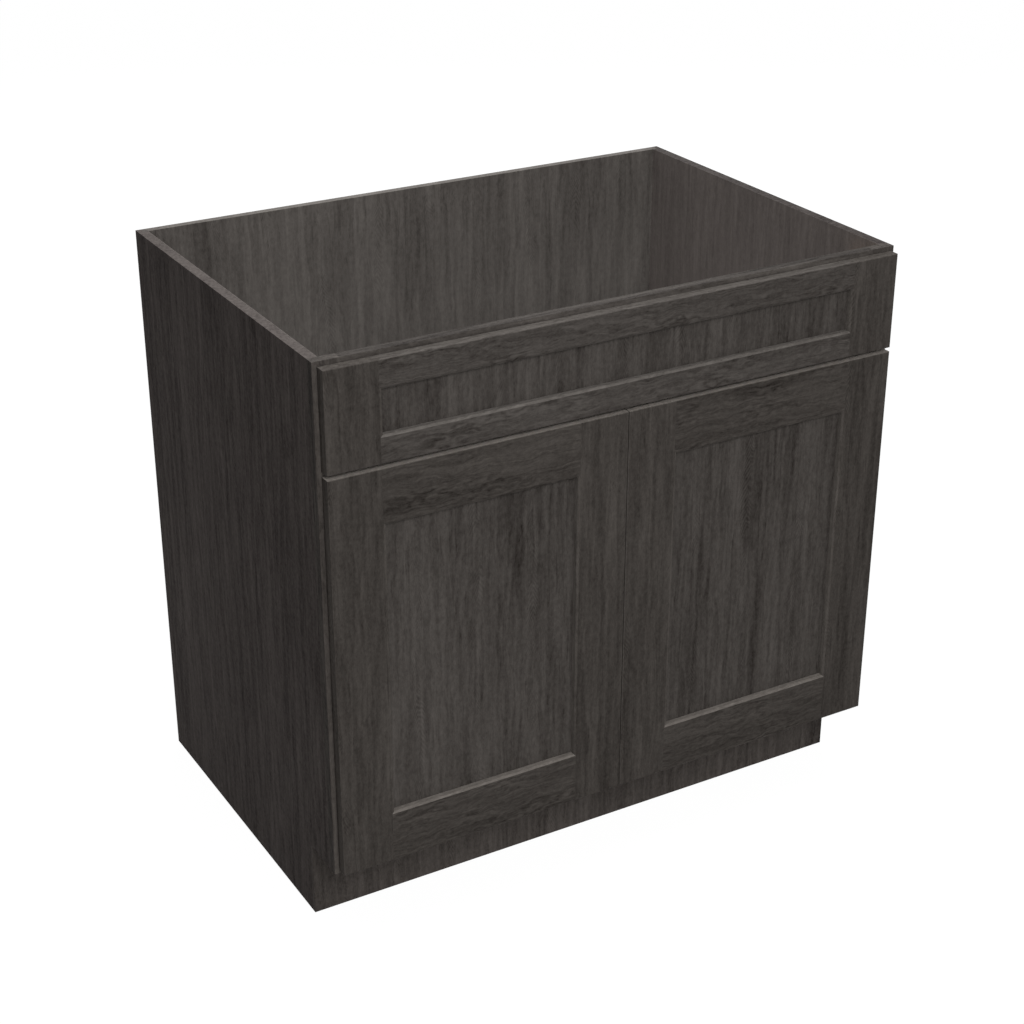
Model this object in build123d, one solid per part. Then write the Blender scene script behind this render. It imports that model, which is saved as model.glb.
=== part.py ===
from build123d import *
import os
from math import cos, pi, radians, sin

# ---------------------------------------------------------------------------------------
# Sink base cabinet. Millimetres. +Z up, +X to the right as seen by a person who faces the
# doors, which look along -Y. Origin: on the floor, under the middle of the whole cabinet.
# ---------------------------------------------------------------------------------------

# Carcass
cabinet_width = 914.4
cabinet_height = 876.3
carcass_depth = 609.6           # frame front to wall
side_thickness = 15.0
floor_thickness = 15.0
back_thickness = 12.7
floor_groove_depth = 6.0        # dado in the inner face of each side
floor_end_play = 0.5            # each end of the floor in its groove
back_rabbet_depth = 8.0         # rabbet at the rear edge of each side

# Toe space
toe_height = 114.3
toe_setback = 76.2              # frame front to toe kick face
toe_cover_thickness = 6.35
toe_board_thickness = 12.7
floor_support_thickness = 15.0

# Face frame
frame_thickness = 15.0
frame_stile_width = 38.1
frame_top_rail_width = 38.1
frame_middle_rail_width = 38.1
frame_bottom_rail_width = 38.1

# Doors and false drawer front
front_thickness = 16.0
front_standoff = 2.0            # frame front to the back of a closed door
side_reveal = 6.35              # frame left showing beside the fronts
top_reveal = 6.35
bottom_reveal = 6.35
fronts_gap = 6.35               # between the false front and the doors
meeting_gap = 1.5               # between the two doors
false_front_height = 142.1
door_stile_face = 76.2
door_rail_face = 76.2
false_rail_face = 36.5
lip_width = 3.2                 # bevel round the inner edge of every door frame
lip_depth = 1.2
panel_recess = 9.0              # frame face to panel face
panel_thickness = 5.0
panel_groove_depth = 9.5
panel_float = 1.5               # room for the panel to swell in its groove
tenon_play = 0.3                # at the end of a rail's tongue
groove_play = 0.1               # each side of a panel or tongue in its groove
edge_ease = 0.8                 # small bevel of the outer front edges
back_bevel = 1.5                # on the back edge beside the hinges

# Concealed hinges
hinge_end_distance = 89.0       # door end to hinge centre
cup_radius = 17.5
cup_edge_margin = 3.0           # door edge to cup
cup_bore_depth = 12.5
cup_play = 0.05
cup_wall = 0.9
cup_floor = 0.8
cup_seat_gap = 0.1
ear_thickness = 1.0
ear_width = 12.0
ear_length = 59.0
ear_corner = 4.0                # cut off each corner of an ear
cup_screw_spacing = 45.0
cup_screw_offset = 9.5
pin_radius = 1.25
pin_inset = 7.0                 # door edge to pin
pin_depth = 8.8                 # door back to pin
pin_play = 0.05                 # running clearance in the arm
pin_seat_play = 0.02            # in the two lugs of the cup
lug_inner = 4.3                 # half the width left for the arm
lug_outer = 7.0
lug_radius = 2.7
arm_width = 8.0
arm_thickness = 1.6
arm_drop = 0.3                  # pin centre to the near face of the arm's bar
eye_radius = 2.2
arm_bend = 2.4
arm_plate_length = 40.0
arm_plate_margin = 1.0          # frame faces to the edges of the arm's plate
arm_plate_corner = 2.5          # cut off each corner of the plate
arm_screw_spacing = 26.0

# Small parts
bumper_radius = 4.5
bumper_ease = 0.6
bumper_clearance = 0.3          # bumper face to the frame when the door is shut
bumper_edge_distance = 8.0
corner_block_leg = 60.0
corner_block_cut = 14.0         # bevelled tips of the block
corner_block_thickness = 18.0
corner_block_drop = 30.0        # below the top of the cabinet
corner_block_hole_radius = 2.5
corner_block_hole_inset = 19.0  # from the frame's back and from the side
spacer_radius = 8.0
false_screw_inset = 125.0       # cabinet side to the false front's screws

overcut = 1.0                   # how far a hole's cutter runs past each face
selection_play = 0.01           # how near an edge lies to the plane it is picked from

# Wood screws: shank radius, length under the head, head radius, head height
screw_sides = 8                 # facets round a screw and its bore
round_sides = 16                # facets round a pocket, a bumper or a spacer
screw_play = 0.05
cup_screw = (1.6, 9.0, 3.2, 1.6)
arm_screw = (1.75, 16.0, 3.4, 1.9)
pocket_screw = (1.8, 25.0, 3.9, 2.0)
false_screw = (1.9, 28.0, 4.2, 2.2)
back_screw = (1.8, 30.0, 3.6, 2.0)
flat_head_rim = 0.3
pocket_angle = 15.0
pocket_radius = 4.75
pocket_shoulder = 12.0          # joint to the floor of the pocket
pocket_reach = 48.0             # long enough to break out of the rail's back
pocket_offset = 9.5             # each screw from the middle of its rail
back_screw_end_inset = 60.0
back_screw_rows = 3
back_floor_screws = 2

# ---------------------------------------------------------------------------------------
# Planes that the sizes above fix
# ---------------------------------------------------------------------------------------
total_depth = carcass_depth + front_standoff + front_thickness
face_y = -total_depth / 2
door_back_y = face_y + front_thickness
frame_front_y = door_back_y + front_standoff
frame_back_y = frame_front_y + frame_thickness
wall_y = frame_front_y + carcass_depth
back_front_y = wall_y - back_thickness
toe_face_y = frame_front_y + toe_setback
toe_board_y = toe_face_y + toe_cover_thickness

half_width = cabinet_width / 2
inner_half = half_width - side_thickness
stile_inner_half = half_width - frame_stile_width
front_half = half_width - side_reveal
door_inner_x = meeting_gap / 2

floor_top = toe_height + frame_bottom_rail_width
floor_underside = floor_top - floor_thickness
false_top = cabinet_height - top_reveal
false_bottom = false_top - false_front_height
door_top = false_bottom - fronts_gap
door_bottom = toe_height + bottom_reveal
middle_rail_centre = (false_bottom + door_top) / 2
middle_rail_top = middle_rail_centre + frame_middle_rail_width / 2
middle_rail_bottom = middle_rail_centre - frame_middle_rail_width / 2
top_rail_bottom = cabinet_height - frame_top_rail_width
hinge_heights = (door_bottom + hinge_end_distance, door_top - hinge_end_distance)

pin_x = -front_half + pin_inset
pin_y = door_back_y - pin_depth
cup_x = -front_half + cup_edge_margin + cup_radius

parts = {}


# ---------------------------------------------------------------------------------------
# Shapes used by many pieces
# ---------------------------------------------------------------------------------------
def block(x0, x1, y0, y1, z0, z1):
    """A board between two corners."""
    middle = Pos((x0 + x1) / 2, (y0 + y1) / 2, (z0 + z1) / 2)
    return middle * Box(abs(x1 - x0), abs(y1 - y0), abs(z1 - z0))


def prism(points, direction, length):
    """A closed outline of points, drawn out along a direction."""
    outline = make_face(Polyline(*points, close=True))
    return extrude(outline, amount=length, dir=direction)


def rod(centre, direction, radius, length):
    """A round bar that starts at a point and runs along a direction."""
    start = Plane(origin=centre, z_dir=direction)
    return extrude(start * Circle(radius), amount=length)


def facet_rod(centre, direction, radius, length, sides=screw_sides):
    """A rod with flat facets, for small round things that repeat."""
    start = Plane(origin=centre, z_dir=direction)
    return extrude(start * RegularPolygon(radius, sides), amount=length)


def mirrored(shape):
    """The same piece for the other side of the cabinet."""
    return mirror(shape, about=Plane.YZ)


def pan_screw(seat, direction, size, play=0.0):
    """A round-headed wood screw. Its head rests on the seat point and stands back from it."""
    shank_radius, length, head_radius, head_height = size
    back = [-a for a in direction]
    shank = facet_rod(seat, direction, shank_radius + play, length + play)
    head = facet_rod(seat, back, head_radius + play, head_height + play)
    return shank + head


def flat_screw(seat, direction, size, play=0.0):
    """A countersunk wood screw. The top of its head lies in the surface at the seat point."""
    shank_radius, length, head_radius, head_height = size
    head = facet_rod(seat, direction, head_radius + play, head_height)
    under = head.faces().sort_by(Axis(seat, direction))[-1]
    slope = (head_radius - shank_radius) * cos(pi / screw_sides)
    head = chamfer(under.edges(), slope, head_height - flat_head_rim, reference=under)
    shank = facet_rod(seat, direction, shank_radius + play, length + play)
    return head + shank


def front_edges(shape, axis_name):
    """The straight edges of a piece that lie in the face plane and run along one axis."""
    along = {"X": Axis.X, "Z": Axis.Z}[axis_name]
    edges = shape.edges().filter_by(along)
    return edges.filter_by_position(Axis.Y, face_y - selection_play, face_y + selection_play)


# ---------------------------------------------------------------------------------------
# Carcass: sides, floor, back, toe kick
# ---------------------------------------------------------------------------------------
def side_panel():
    """Left side: notched for the toe space, grooved for the floor, rabbeted for the back."""
    outer_x = -half_width
    outline = [
        (outer_x, frame_back_y, toe_height),
        (outer_x, toe_board_y, toe_height),
        (outer_x, toe_board_y, 0),
        (outer_x, wall_y, 0),
        (outer_x, wall_y, cabinet_height),
        (outer_x, frame_back_y, cabinet_height),
    ]
    panel = prism(outline, (1, 0, 0), side_thickness)
    groove_x = -inner_half - floor_groove_depth
    panel -= block(groove_x, -inner_half, frame_back_y, back_front_y,
                   floor_underside, floor_top)
    rabbet_x = -inner_half - back_rabbet_depth
    panel -= block(rabbet_x, -inner_half, back_front_y, wall_y, 0, cabinet_height)
    return panel


def back_panel():
    """Back, let into the rabbets of both sides."""
    half = inner_half + back_rabbet_depth
    return block(-half, half, back_front_y, wall_y, 0, cabinet_height)


def floor_panel():
    """Cabinet floor, its ends in the side grooves."""
    half = inner_half + floor_groove_depth - floor_end_play
    return block(-half, half, frame_back_y, back_front_y, floor_underside, floor_top)


def toe_kick_board():
    """Plain board between the sides that carries the front of the floor."""
    return block(-inner_half, inner_half, toe_board_y, toe_board_y + toe_board_thickness,
                 0, floor_underside)


def toe_kick_cover():
    """Finished face of the toe space, full width over the edges of the sides."""
    return block(-half_width, half_width, toe_face_y, toe_board_y, 0, toe_height)


def floor_support():
    """Bearer on edge under the middle of the floor, from toe kick to back."""
    half = floor_support_thickness / 2
    return block(-half, half, toe_board_y + toe_board_thickness, back_front_y,
                 0, floor_underside)


def corner_block():
    """Left front corner brace, bevelled at its tips, bored for a countertop screw."""
    x, y = -inner_half, frame_back_y
    top = cabinet_height - corner_block_drop
    leg, cut = corner_block_leg, corner_block_cut
    outline = [
        (x, y, top),
        (x + leg, y, top),
        (x + leg, y + cut, top),
        (x + cut, y + leg, top),
        (x, y + leg, top),
    ]
    brace = prism(outline, (0, 0, -1), corner_block_thickness)
    hole = (x + corner_block_hole_inset, y + corner_block_hole_inset, top)
    return brace - rod(hole, (0, 0, -1), corner_block_hole_radius, corner_block_thickness)


# ---------------------------------------------------------------------------------------
# Face frame, with pocket screws at each end of every rail
# ---------------------------------------------------------------------------------------
def pocket_places():
    """Rail centre height of each pair of pocket screws, left end of the rail."""
    centres = (
        cabinet_height - frame_top_rail_width / 2,
        middle_rail_centre,
        toe_height + frame_bottom_rail_width / 2,
    )
    return [(centre, centre + side * pocket_offset) for centre in centres for side in (-1, 1)]


def pocket_seat(height):
    """Where a pocket screw's head rests in the left end of a rail, and its direction."""
    lean = radians(pocket_angle)
    direction = (-cos(lean), -sin(lean), 0)
    joint = (-stile_inner_half, frame_front_y + frame_thickness / 2, height)
    seat = tuple(j - pocket_shoulder * d for j, d in zip(joint, direction))
    return seat, direction


def frame_rail(bottom, top):
    """A frame rail between the stiles, with two screw pockets in the back of each end."""
    rail = block(-stile_inner_half, stile_inner_half, frame_front_y, frame_back_y, bottom, top)
    for centre, height in pocket_places():
        if bottom < centre < top:
            seat, direction = pocket_seat(height)
            back = [-a for a in direction]
            pocket = facet_rod(seat, back, pocket_radius, pocket_reach, round_sides)
            pocket += pan_screw(seat, direction, pocket_screw, screw_play)
            rail -= pocket
            rail -= mirrored(pocket)
    return rail


def frame_stile():
    """Left frame stile, bored for the pocket screws and for the hinge screws."""
    stile = block(-half_width, -stile_inner_half, frame_front_y, frame_back_y,
                  toe_height, cabinet_height)
    for _, height in pocket_places():
        seat, direction = pocket_seat(height)
        stile -= pan_screw(seat, direction, pocket_screw, screw_play)
    for screw in arm_screws(screw_play):
        stile -= screw
    return stile


# ---------------------------------------------------------------------------------------
# Doors and false front: five-piece frames with a loose flat panel
# ---------------------------------------------------------------------------------------
def member_section(face_width):
    """Section of a stile or rail: (across, depth) points from its outer front edge.

    The inner edge has a small bevel, a square drop to the panel and the panel's groove.
    """
    wall = face_width + lip_width
    groove_front = panel_recess - groove_play
    groove_back = panel_recess + panel_thickness + groove_play
    return [
        (0, 0),
        (face_width, 0),
        (wall, lip_depth),
        (wall, groove_front),
        (wall - panel_groove_depth, groove_front),
        (wall - panel_groove_depth, groove_back),
        (wall, groove_back),
        (wall, front_thickness),
        (0, front_thickness),
    ]


def stile(outer_x, inward, bottom, top, face_width):
    """A door stile on edge. inward is +1 when its inner edge is on its right."""
    points = [(outer_x + inward * across, face_y + depth, bottom)
              for across, depth in member_section(face_width)]
    member = prism(points, (0, 0, 1), top - bottom)
    outer = front_edges(member, "Z").sort_by(Axis.X)[0 if inward > 0 else -1]
    ends = front_edges(member, "X")
    return chamfer([outer, *ends], edge_ease)


def rail(left_x, right_x, outer_z, inward, face_width, stiles):
    """A door rail with coped ends that fit the stiles' bevels, and a tongue at each end."""
    points = [(left_x, face_y + depth, outer_z + inward * across)
              for across, depth in member_section(face_width)]
    member = prism(points, (1, 0, 0), right_x - left_x)
    outer = front_edges(member, "X").sort_by(Axis.Z)[0 if inward > 0 else -1]
    member = chamfer(outer, edge_ease)
    for each in stiles:
        member -= each
    reach = lip_width - panel_groove_depth + tenon_play
    tongue_back = face_y + panel_recess + panel_thickness
    return member + block(left_x + reach, right_x - reach, face_y + panel_recess, tongue_back,
                          outer_z, outer_z + inward * (face_width + lip_width
                                                       - panel_groove_depth))


def five_piece_front(name, left_x, right_x, bottom, top, rail_face, left_name, right_name):
    """Adds the two stiles, two rails and panel of one door or false front."""
    left = stile(left_x, 1, bottom, top, door_stile_face)
    right = stile(right_x, -1, bottom, top, door_stile_face)
    rail_left = left_x + door_stile_face
    rail_right = right_x - door_stile_face
    both = (left, right)
    parts[name + "_" + left_name] = left
    parts[name + "_" + right_name] = right
    parts[name + "_top_rail"] = rail(rail_left, rail_right, top, -1, rail_face, both)
    parts[name + "_bottom_rail"] = rail(rail_left, rail_right, bottom, 1, rail_face, both)
    tuck = lip_width - panel_groove_depth + panel_float
    panel_front = face_y + panel_recess
    parts[name + "_panel"] = block(rail_left + tuck, rail_right - tuck,
                                   panel_front, panel_front + panel_thickness,
                                   bottom + rail_face + tuck, top - rail_face - tuck)


def bevel_back_edge(member):
    """Bevels the long back edge beside the hinges so that the door clears the frame."""
    back_edges = member.edges().filter_by(Axis.Z).filter_by_position(
        Axis.Y, door_back_y - selection_play, door_back_y + selection_play)
    return chamfer(back_edges.sort_by(Axis.X)[0], back_bevel)


# ---------------------------------------------------------------------------------------
# Concealed hinges: a cup in the door, an arm on the frame, and the pin they turn on
# ---------------------------------------------------------------------------------------
def cup_screws(height, play=0.0):
    """The two screws through the ears of one cup."""
    x = cup_x + cup_screw_offset
    seat_y = door_back_y + ear_thickness
    half = cup_screw_spacing / 2
    return [flat_screw((x, seat_y, height + side * half), (0, -1, 0), cup_screw, play)
            for side in (-1, 1)]


def cup_bore(height):
    """Round seat for a hinge cup in the back of a door."""
    return rod((cup_x, door_back_y, height), (0, -1, 0), cup_radius, cup_bore_depth)


def hinge_cup(height):
    """Steel cup with two screw ears and two lugs that hold the pin."""
    mouth = (cup_x, door_back_y, height)
    depth = cup_bore_depth - cup_seat_gap
    shell_radius = cup_radius - cup_play
    hollow_radius = shell_radius - cup_wall
    cup = rod(mouth, (0, -1, 0), shell_radius, depth)
    ear_plane = Plane(origin=(cup_x + cup_screw_offset, door_back_y, height),
                      x_dir=(1, 0, 0), z_dir=(0, 1, 0))
    ear_outline = Rectangle(ear_width, ear_length)
    ear_outline = chamfer(ear_outline.vertices(), ear_corner)
    ears = extrude(ear_plane * ear_outline, amount=ear_thickness)
    ear_top = (cup_x, door_back_y + ear_thickness, height)
    cup = cup + ears
    cup -= rod(ear_top, (0, -1, 0), hollow_radius, ear_thickness + depth - cup_floor)
    room = rod(mouth, (0, -1, 0), shell_radius - cup_wall / 2, depth - cup_floor / 2)
    lug_thickness = lug_outer - lug_inner
    for side in (-1, 1):
        z = height + side * (lug_inner + lug_outer) / 2
        z0, z1 = z - lug_thickness / 2, z + lug_thickness / 2
        lug = rod((pin_x, pin_y, z0), (0, 0, 1), lug_radius, lug_thickness)
        lug += block(pin_x - pin_inset, pin_x + lug_radius, pin_y - cup_bore_depth, pin_y, z0, z1)
        lug += block(pin_x - pin_inset, pin_x, pin_y, pin_y + lug_radius, z0, z1)
        cup += lug & room
    cup -= rod((pin_x, pin_y, height - lug_outer - overcut), (0, 0, 1),
               pin_radius + pin_seat_play, 2 * (lug_outer + overcut))
    for screw in cup_screws(height, screw_play):
        cup -= screw
    return cup


def hinge_pin(height):
    """Pin across the cup, flush with the outsides of the lugs."""
    return rod((pin_x, pin_y, height - lug_outer), (0, 0, 1), pin_radius, 2 * lug_outer)


def arm_plate_y():
    """Front and back edges of the arm's plate on the edge of the frame stile."""
    return frame_front_y + arm_plate_margin, frame_back_y - arm_plate_margin


def arm_screws(play=0.0):
    """The screws that hold both arms of one door to the edge of the frame stile."""
    front, back = arm_plate_y()
    x = -stile_inner_half + arm_thickness
    half = arm_screw_spacing / 2
    return [pan_screw((x, (front + back) / 2, height + side * half), (-1, 0, 0), arm_screw, play)
            for height in hinge_heights for side in (-1, 1)]


def hinge_arm(height):
    """Bent steel arm: an eye round the pin, a bar in the cup and a plate on the frame."""
    plate_front, plate_back = arm_plate_y()
    foot_x = -stile_inner_half
    bar_near = pin_y - arm_drop
    bar_far = bar_near - arm_thickness
    half = arm_width / 2
    outline = make_face(Polyline(
        (pin_x, bar_near), (foot_x, bar_near), (foot_x, plate_back),
        (foot_x + arm_thickness, plate_back), (foot_x + arm_thickness, bar_far),
        (pin_x, bar_far), close=True))
    corner = outline.vertices().sort_by_distance((foot_x + arm_thickness, bar_far))[0]
    outline = fillet(corner, arm_bend)
    inner = outline.vertices().sort_by_distance((foot_x, bar_near))[0]
    outline = fillet(inner, arm_bend - arm_thickness)
    arm = extrude(Pos(0, 0, height - half) * outline, amount=arm_width)
    arm += rod((pin_x, pin_y, height - half), (0, 0, 1), eye_radius, arm_width)
    arm -= rod((pin_x, pin_y, height - half - overcut), (0, 0, 1),
               pin_radius + pin_play, arm_width + 2 * overcut)
    plate_plane = Plane(origin=(foot_x, (plate_front + plate_back) / 2, height),
                        x_dir=(0, 1, 0), z_dir=(1, 0, 0))
    plate_outline = Rectangle(plate_back - plate_front, arm_plate_length)
    plate_outline = chamfer(plate_outline.vertices(), arm_plate_corner)
    arm += extrude(plate_plane * plate_outline, amount=arm_thickness)
    shank_radius = arm_screw[0]
    for side in (-1, 1):
        z = height + side * arm_screw_spacing / 2
        arm -= facet_rod((foot_x, (plate_front + plate_back) / 2, z), (1, 0, 0),
                         shank_radius + screw_play, arm_thickness)
    return arm


# ---------------------------------------------------------------------------------------
# Small parts
# ---------------------------------------------------------------------------------------
def door_bumpers():
    """Two soft pads on the back of the left door's meeting stile."""
    x = -door_inner_x - bumper_edge_distance
    thickness = front_standoff - bumper_clearance
    pads = []
    for z in (door_bottom + bumper_edge_distance, door_top - bumper_edge_distance):
        pad = facet_rod((x, door_back_y, z), (0, 1, 0), bumper_radius, thickness, round_sides)
        pads.append(chamfer(pad.faces().sort_by(Axis.Y)[-1].edges(), bumper_ease))
    return pads


def false_screw_places():
    """Where the false front is screwed through the frame, left side: x and heights."""
    upper = (top_rail_bottom + false_top) / 2
    lower = (false_bottom + middle_rail_top) / 2
    return -half_width + false_screw_inset, (upper, lower)


def false_screws(play=0.0):
    """Screws through the frame rails into the false front, near its left end."""
    x, heights = false_screw_places()
    return [pan_screw((x, frame_back_y, z), (0, -1, 0), false_screw, play) for z in heights]


def false_front_spacers():
    """Washers that hold the left end of the false front in line with the doors."""
    x, heights = false_screw_places()
    hole = false_screw[0] + screw_play
    return [facet_rod((x, door_back_y, z), (0, 1, 0), spacer_radius, front_standoff, round_sides)
            - facet_rod((x, door_back_y, z), (0, 1, 0), hole, front_standoff)
            for z in heights]


def back_screws(play=0.0):
    """Countersunk screws that hold the back to the sides and to the floor."""
    span = cabinet_height - 2 * back_screw_end_inset
    heights = [back_screw_end_inset + span * i / (back_screw_rows - 1)
               for i in range(back_screw_rows)]
    x_side = inner_half + back_rabbet_depth / 2
    pitch = 2 * inner_half / back_floor_screws
    across = [-inner_half + pitch * (i + 0.5) for i in range(back_floor_screws)]
    places = [(side * x_side, z) for side in (-1, 1) for z in heights]
    places += [(x, floor_underside + floor_thickness / 2) for x in across]
    return [flat_screw((x, wall_y, z), (0, -1, 0), back_screw, play) for x, z in places]


def with_holes(shape, tools):
    """A piece with each of the tools cut out of it."""
    for tool in tools:
        shape -= tool
    return shape


# ---------------------------------------------------------------------------------------
# The whole cabinet
# ---------------------------------------------------------------------------------------
left_side = with_holes(side_panel(), back_screws(screw_play))
parts["side_panel_left"] = left_side
parts["side_panel_right"] = mirrored(left_side)
parts["floor_panel"] = with_holes(floor_panel(), back_screws(screw_play))
parts["back_panel"] = with_holes(back_panel(), back_screws(screw_play))
parts["back_panel_screws"] = Compound(back_screws())
parts["toe_kick_board"] = toe_kick_board()
parts["toe_kick_cover"] = toe_kick_cover()
parts["floor_support"] = floor_support()
left_block = corner_block()
parts["corner_block_left"] = left_block
parts["corner_block_right"] = mirrored(left_block)

false_bores = false_screws(screw_play)
false_bores += [mirrored(bore) for bore in false_bores]
left_frame_stile = frame_stile()
parts["frame_stile_left"] = left_frame_stile
parts["frame_stile_right"] = mirrored(left_frame_stile)
parts["frame_top_rail"] = with_holes(frame_rail(top_rail_bottom, cabinet_height), false_bores)
parts["frame_middle_rail"] = with_holes(frame_rail(middle_rail_bottom, middle_rail_top),
                                        false_bores)
parts["frame_bottom_rail"] = frame_rail(toe_height, floor_top)
left_pocket_screws = [pan_screw(*pocket_seat(height), pocket_screw)
                      for _, height in pocket_places()]
parts["frame_pocket_screws"] = Compound(left_pocket_screws
                                        + [mirrored(s) for s in left_pocket_screws])

five_piece_front("false_front", -front_half, front_half, false_bottom, false_top,
                 false_rail_face, "stile_left", "stile_right")
for name in ("false_front_top_rail", "false_front_bottom_rail"):
    parts[name] = with_holes(parts[name], false_bores)
left_spacers = false_front_spacers()
parts["false_front_spacers"] = Compound(left_spacers + [mirrored(s) for s in left_spacers])
left_false_screws = false_screws()
parts["false_front_screws"] = Compound(left_false_screws
                                       + [mirrored(s) for s in left_false_screws])

five_piece_front("left_door", -front_half, -door_inner_x, door_bottom, door_top,
                 door_rail_face, "hinge_stile", "meeting_stile")
hinge_stile = bevel_back_edge(parts["left_door_hinge_stile"])
for height in hinge_heights:
    hinge_stile -= cup_bore(height)
    hinge_stile = with_holes(hinge_stile, cup_screws(height, screw_play))
parts["left_door_hinge_stile"] = hinge_stile
for piece in ("hinge_stile", "meeting_stile", "top_rail", "bottom_rail", "panel"):
    parts["right_door_" + piece] = mirrored(parts["left_door_" + piece])

left_bumpers = door_bumpers()
left_cup_screws = [screw for height in hinge_heights for screw in cup_screws(height)]
left_arm_screws = arm_screws()
groups = {
    "door_bumpers": left_bumpers,
    "hinge_cup_screws": left_cup_screws,
    "hinge_arm_screws": left_arm_screws,
}
for name, solids in groups.items():
    parts["left_" + name] = Compound(solids)
    parts["right_" + name] = Compound([mirrored(solid) for solid in solids])

for level, height in zip(("lower", "upper"), hinge_heights):
    for piece, make in (("cup", hinge_cup), ("arm", hinge_arm), ("pin", hinge_pin)):
        left_piece = make(height)
        parts[f"left_{level}_hinge_{piece}"] = left_piece
        parts[f"right_{level}_hinge_{piece}"] = mirrored(left_piece)

os.makedirs("parts", exist_ok=True)
for name, shape in parts.items():
    export_step(shape, f"parts/{name}.step")
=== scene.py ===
from math import pi, radians

import bmesh
import bpy
import numpy as np
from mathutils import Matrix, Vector


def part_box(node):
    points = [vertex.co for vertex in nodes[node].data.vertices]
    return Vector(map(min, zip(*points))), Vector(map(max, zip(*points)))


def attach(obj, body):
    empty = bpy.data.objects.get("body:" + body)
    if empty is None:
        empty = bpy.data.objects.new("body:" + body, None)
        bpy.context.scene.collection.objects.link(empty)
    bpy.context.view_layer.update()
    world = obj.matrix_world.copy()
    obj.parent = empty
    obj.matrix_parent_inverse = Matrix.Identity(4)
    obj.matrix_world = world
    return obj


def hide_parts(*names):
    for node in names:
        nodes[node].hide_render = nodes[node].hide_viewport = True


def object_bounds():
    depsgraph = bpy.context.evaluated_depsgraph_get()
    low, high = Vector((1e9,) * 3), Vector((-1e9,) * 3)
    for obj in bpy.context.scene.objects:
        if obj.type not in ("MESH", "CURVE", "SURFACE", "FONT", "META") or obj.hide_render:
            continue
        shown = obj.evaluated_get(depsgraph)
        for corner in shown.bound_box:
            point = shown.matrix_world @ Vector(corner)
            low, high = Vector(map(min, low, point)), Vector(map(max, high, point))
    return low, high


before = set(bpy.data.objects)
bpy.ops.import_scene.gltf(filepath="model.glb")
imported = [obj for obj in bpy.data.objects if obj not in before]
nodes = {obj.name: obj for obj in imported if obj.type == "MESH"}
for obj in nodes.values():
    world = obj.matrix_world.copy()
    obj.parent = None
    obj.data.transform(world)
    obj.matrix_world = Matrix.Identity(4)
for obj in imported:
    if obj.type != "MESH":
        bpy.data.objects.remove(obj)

cad_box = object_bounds()

# --------------------------------------------------------------------------------------
# Side panels. Plywood faced with open-grained oak veneer, grain upright, stained smoke
# grey and lacquered satin. Each is notched for the toe space, grooved for the floor,
# rabbeted for the back, and glued behind the face frame.
# --------------------------------------------------------------------------------------


class Wire:
    """A value that flows between shader nodes and can be used in a formula."""

    def __init__(self, paint, socket):
        self.paint = paint
        self.socket = socket

    def math(self, operation, other=None):
        """This value, alone or with another, through a Math node."""
        return self.paint.node("ShaderNodeMath", {"operation": operation}, {0: self, 1: other})

    def cycle(self):
        """A sine that rises and falls once for every whole step of this value."""
        return (self * (2 * pi)).math("SINE")

    def __add__(self, other):
        return self.math("ADD", other)

    def __sub__(self, other):
        return self.math("SUBTRACT", other)

    def __rsub__(self, other):
        return self.paint.node("ShaderNodeMath", {"operation": "SUBTRACT"}, {0: other, 1: self})

    def __mul__(self, other):
        return self.math("MULTIPLY", other)

    def __truediv__(self, other):
        return self.math("DIVIDE", other)

    def __pow__(self, other):
        return self.math("POWER", other)

    __radd__ = __add__
    __rmul__ = __mul__


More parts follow.
